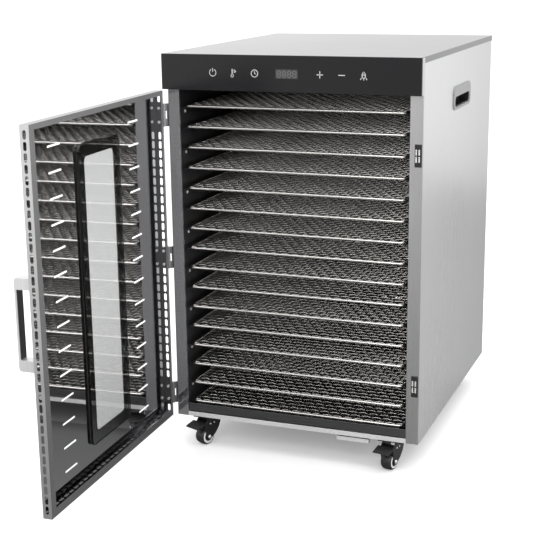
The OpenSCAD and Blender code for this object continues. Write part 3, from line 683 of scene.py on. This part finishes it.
handle_low, handle_high = limits([closing @ v.co for v in NODES["door_handle"].data.vertices])
POST_H = 17 * MM
BAR_T = 3.5 * MM
LINER_INSET = 1.3 * MM
LINER_PLAY, LINER_R = 1 * MM, 1 * MM
LINER_SUNK, LINER_THICK = 0.2 * MM, 0.9 * MM
handle_mid, handle_size = (handle_low + handle_high) / 2, handle_high - handle_low
liner = bmesh.new()
prism(liner, rounded_outline(handle_mid.x, handle_mid.z, handle_size.x - 2 * LINER_INSET,
                             handle_size.z - 2 * POST_H - LINER_PLAY, LINER_R, 3),
      handle_low.y + BAR_T - LINER_SUNK, handle_low.y + BAR_T + LINER_THICK)
bmesh.ops.transform(liner, matrix=opening, verts=liner.verts)
shown("handle_grip_liner", liner, "door", FINISHES["black_plastic"])

# ---- Castors: rounded wheels with a light ring, and rivets on the forks ----

# Outlines in shares of the wheel's radius and of half its width
TREAD_PROFILE = ((0.32, 0.92), (0.36, 1), (0.52, 1), (0.55, 0.90), (0.78, 0.90), (0.80, 0.97),
                 (0.86, 0.93), (0.94, 0.78), (0.985, 0.5), (1, 0.2))
RING_PROFILE = ((0.56, 0.88), (0.56, 0.97), (0.60, 1.0), (0.73, 1.0), (0.77, 0.96), (0.77, 0.88),
                (0.56, 0.88))
TREAD_MARGIN = 0.02 * MM
# Outlines in millimetres, from the middle of the head outwards
RIVET_PROFILE = ((0, 0.8), (0.9, 0.7), (1.5, 0.35), (1.7, 0), (0, -0.1))
AXLE_PROFILE = ((0, 1.6), (2.2, 1.5), (3.0, 0.9), (3.3, 0), (0, -0.1))
BOSS_HEIGHT = 1 * MM
SECOND_RIVET_BACK, SECOND_RIVET_UP = 9 * MM, 1.5 * MM


def heads_on_cheeks(made, at, cheek, profile, segments):
    """The same head on the outer faces of both cheeks of a fork, about the matrix at."""
    for sign, turn in ((-1, math.pi), (1, 0)):
        face = at @ Matrix.Translation((0, 0, sign * cheek)) @ Matrix.Rotation(turn, 4, "X")
        lathed(made, [(r * MM, z * MM) for r, z in profile], face, segments)


for corner in CORNERS:
    roll = JOINTS[corner + "_castor_roll"]
    press = JOINTS[corner + "_castor_brake_press"]
    axle = Vector(roll["axis"]).normalized()
    spin = axle.to_track_quat("Z", "Y").to_matrix().to_4x4()
    place = Matrix.Translation(Vector(roll["pos_m"])) @ spin
    points = [place.inverted() @ v.co for v in NODES[corner + "_wheel"].data.vertices]
    wheel_low, wheel_high = limits(points)
    big, half = wheel_high.x - TREAD_MARGIN, wheel_high.z
    bore = min(math.hypot(p.x, p.y) for p in points)
    tread = [(bore, half * TREAD_PROFILE[0][1])] + [(big * r, half * h) for r, h in TREAD_PROFILE]
    profile = tread + [(r, -z) for r, z in reversed(tread)] + [tread[0]]
    wheel = bmesh.new()
    lathed(wheel, profile, place, 64)
    bmesh.ops.remove_doubles(wheel, verts=wheel.verts, dist=WELD)
    body = corner + "_castor_wheel"
    made = shown(corner + "_tread", wheel, body, FINISHES["castor_wheel"])
    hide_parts(corner + "_wheel")
    ring = bmesh.new()
    for sign in (-1, 1):
        lathed(ring, [(big * r, sign * half * h) for r, h in RING_PROFILE], place, 48)
    bmesh.ops.remove_doubles(ring, verts=ring.verts, dist=WELD)
    shown(corner + "_wheel_ring", ring, body, RING)
    rivets = bmesh.new()
    fork_points = [place.inverted() @ v.co for v in NODES[corner + "_fork"].data.vertices]
    cheek = max(p.z for p in fork_points) - BOSS_HEIGHT
    brake_pin = Vector(press["pos_m"])
    forward = (Vector(roll["pos_m"]) - brake_pin).cross(axle).normalized()
    second = brake_pin - SECOND_RIVET_BACK * forward + Vector((0, 0, SECOND_RIVET_UP))
    for at in (brake_pin, second):
        heads_on_cheeks(rivets, Matrix.Translation(at) @ spin, cheek, RIVET_PROFILE, 20)
    heads_on_cheeks(rivets, place, cheek, AXLE_PROFILE, 24)
    shown(corner + "_fork_rivets", rivets, corner + "_castor", FINISHES["screw_steel"])

# ---- Studio ----

scene = bpy.context.scene
FLOOR_HALF = 40.0
PAPER_GLOW = 0.2


def floor_plane(name, height, look, left, right, front, back):
    made = bmesh.new()
    for x, y in ((left, front), (right, front), (right, back), (left, back)):
        made.verts.new((x, y, height))
    made.faces.new(made.verts)
    mesh = bpy.data.meshes.new(name)
    made.to_mesh(mesh)
    made.free()
    mesh.materials.append(look)
    plane = bpy.data.objects.new(name, mesh)
    scene.collection.objects.link(plane)
    plane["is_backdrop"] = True
    return plane


def matt(name, grey, vary):
    return finish(name, (grey, grey, grey), 0.9, scale=(2, 2, 2), vary=vary, bump=0.0, specular=0.0)


paper = matt("studio paper", 0.90, 0.003)
paper_shader = paper.node_tree.nodes["Principled BSDF"]
paper_shader.inputs["Emission Color"].default_value = (1, 1, 1, 1)
paper_shader.inputs["Emission Strength"].default_value = PAPER_GLOW
floor = floor_plane("studio_floor", 0.0, paper, -FLOOR_HALF, FLOOR_HALF, -FLOOR_HALF, FLOOR_HALF)
floor.visible_glossy = False
# The steel reflects a darker table than the white paper that the camera sees
TABLE_HALF = 2.6
TABLE_LEFT = -0.8
TABLE_LIFT = 0.2 * MM
TABLES = (("front_table", 0.18, -TABLE_HALF, 0.0), ("back_table", 0.33, 0.0, TABLE_HALF))
for name, grey, front, back in TABLES:
    look = matt(name, grey, 0.02)
    table = floor_plane(name, TABLE_LIFT, look, TABLE_LEFT, TABLE_HALF, front, back)
    table.visible_camera = False
    table.visible_diffuse = False
    table.visible_transmission = False
    table.visible_volume_scatter = False
    table.visible_shadow = False

world = bpy.data.worlds.new("studio")
scene.world = world
world.use_nodes = True
# Bright overhead, dimmer towards the ground and on the camera's side, as a studio is. SKY pairs a
# height, from straight down at 0 to straight up at 1, with a level of light.
SKY = ((0.0, 0.07), (0.33, 0.26), (0.45, 0.56), (0.60, 0.50), (1.0, 1.0))
SKY_STRENGTH = 1.65
# The front's share of that light to the right and to the left, and where each change takes place
FRONT_SHARE_RIGHT = 0.5
FRONT_SHARE_LEFT = 1.35
SHARE_SPAN_X = (-0.25, -0.55)
SHARE_SPAN_Y = (-0.9, 0.3)
sky_nodes, sky_links = world.node_tree.nodes, world.node_tree.links
heading = sky_nodes.new("ShaderNodeTexCoord")
parts = sky_nodes.new("ShaderNodeSeparateXYZ")
sky_links.new(heading.outputs["Generated"], parts.inputs["Vector"])
height = remap(sky_nodes, -1.0, 1.0)
sky_links.new(parts.outputs["Z"], height.inputs["Value"])
sky_ramp = sky_nodes.new("ShaderNodeValToRGB")
sky_ramp.color_ramp.interpolation = "EASE"
for at, level in SKY[1:-1]:
    sky_ramp.color_ramp.elements.new(at)
for stop, (at, level) in zip(sky_ramp.color_ramp.elements, SKY):
    stop.position = at
    stop.color = (level, level, level, 1)
sky_links.new(height.outputs["Result"], sky_ramp.inputs["Fac"])
sideways = remap(sky_nodes, *SHARE_SPAN_X, FRONT_SHARE_RIGHT * SKY_STRENGTH,
                 FRONT_SHARE_LEFT * SKY_STRENGTH)
sky_links.new(parts.outputs["X"], sideways.inputs["Value"])
depth = remap(sky_nodes, *SHARE_SPAN_Y, to_max=SKY_STRENGTH)
sky_links.new(sideways.outputs["Result"], depth.inputs["To Min"])
sky_links.new(parts.outputs["Y"], depth.inputs["Value"])
sky_links.new(sky_ramp.outputs["Color"], sky_nodes["Background"].inputs["Color"])
sky_links.new(depth.outputs["Result"], sky_nodes["Background"].inputs["Strength"])
scene.view_settings.view_transform = "Standard"

TARGET = Vector((0.0, 0.18, 0.35))


def softbox(name, spot, size, power):
    data = bpy.data.lights.new(name, "AREA")
    data.shape = "RECTANGLE"
    data.size, data.size_y = size
    data.energy = power
    lamp = bpy.data.objects.new(name, data)
    scene.collection.objects.link(lamp)
    lamp.location = spot
    lamp.rotation_euler = (TARGET - Vector(spot)).to_track_quat("-Z", "Y").to_euler()


# Each with its place and size in metres and its power in watts
softbox("front softbox", (0.7, -3.4, 2.3), (3.0, 2.2), 70)
softbox("top softbox", (0.9, 0.3, 3.5), (3.2, 3.2), 38)
softbox("right softbox", (3.4, -0.8, 1.8), (1.6, 2.2), 25)

# ---- Camera, placed from the cabinet's front left lower corner ----

CAMERA_FROM_CORNER = Vector((0.8960, -1.8457, 0.7796))
CAMERA_TURN = math.radians(-21.41)
CAMERA_DOWN = math.radians(14.13)
CAMERA_ROLL = math.radians(-0.80)
FOCAL_LENGTH = 83.43
SENSOR_WIDTH = 36
panel_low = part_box("left_side_panel")[0]
corner_point = Vector((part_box("top_cover")[0].x, panel_low.y, panel_low.z))
ahead = Vector((math.sin(CAMERA_TURN) * math.cos(CAMERA_DOWN),
                math.cos(CAMERA_TURN) * math.cos(CAMERA_DOWN), -math.sin(CAMERA_DOWN)))
level_right = Vector((math.cos(CAMERA_TURN), -math.sin(CAMERA_TURN), 0))
level_up = level_right.cross(ahead)
right = level_right * math.cos(CAMERA_ROLL) + level_up * math.sin(CAMERA_ROLL)
up = level_up * math.cos(CAMERA_ROLL) - level_right * math.sin(CAMERA_ROLL)
camera_data = bpy.data.cameras.new("camera")
camera_data.lens = FOCAL_LENGTH
camera_data.sensor_width = SENSOR_WIDTH
camera = bpy.data.objects.new("camera", camera_data)
scene.collection.objects.link(camera)
turned = Matrix((right, up, -ahead)).transposed().to_4x4()
camera.matrix_world = Matrix.Translation(corner_point + CAMERA_FROM_CORNER) @ turned
scene.camera = camera

low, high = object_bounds()
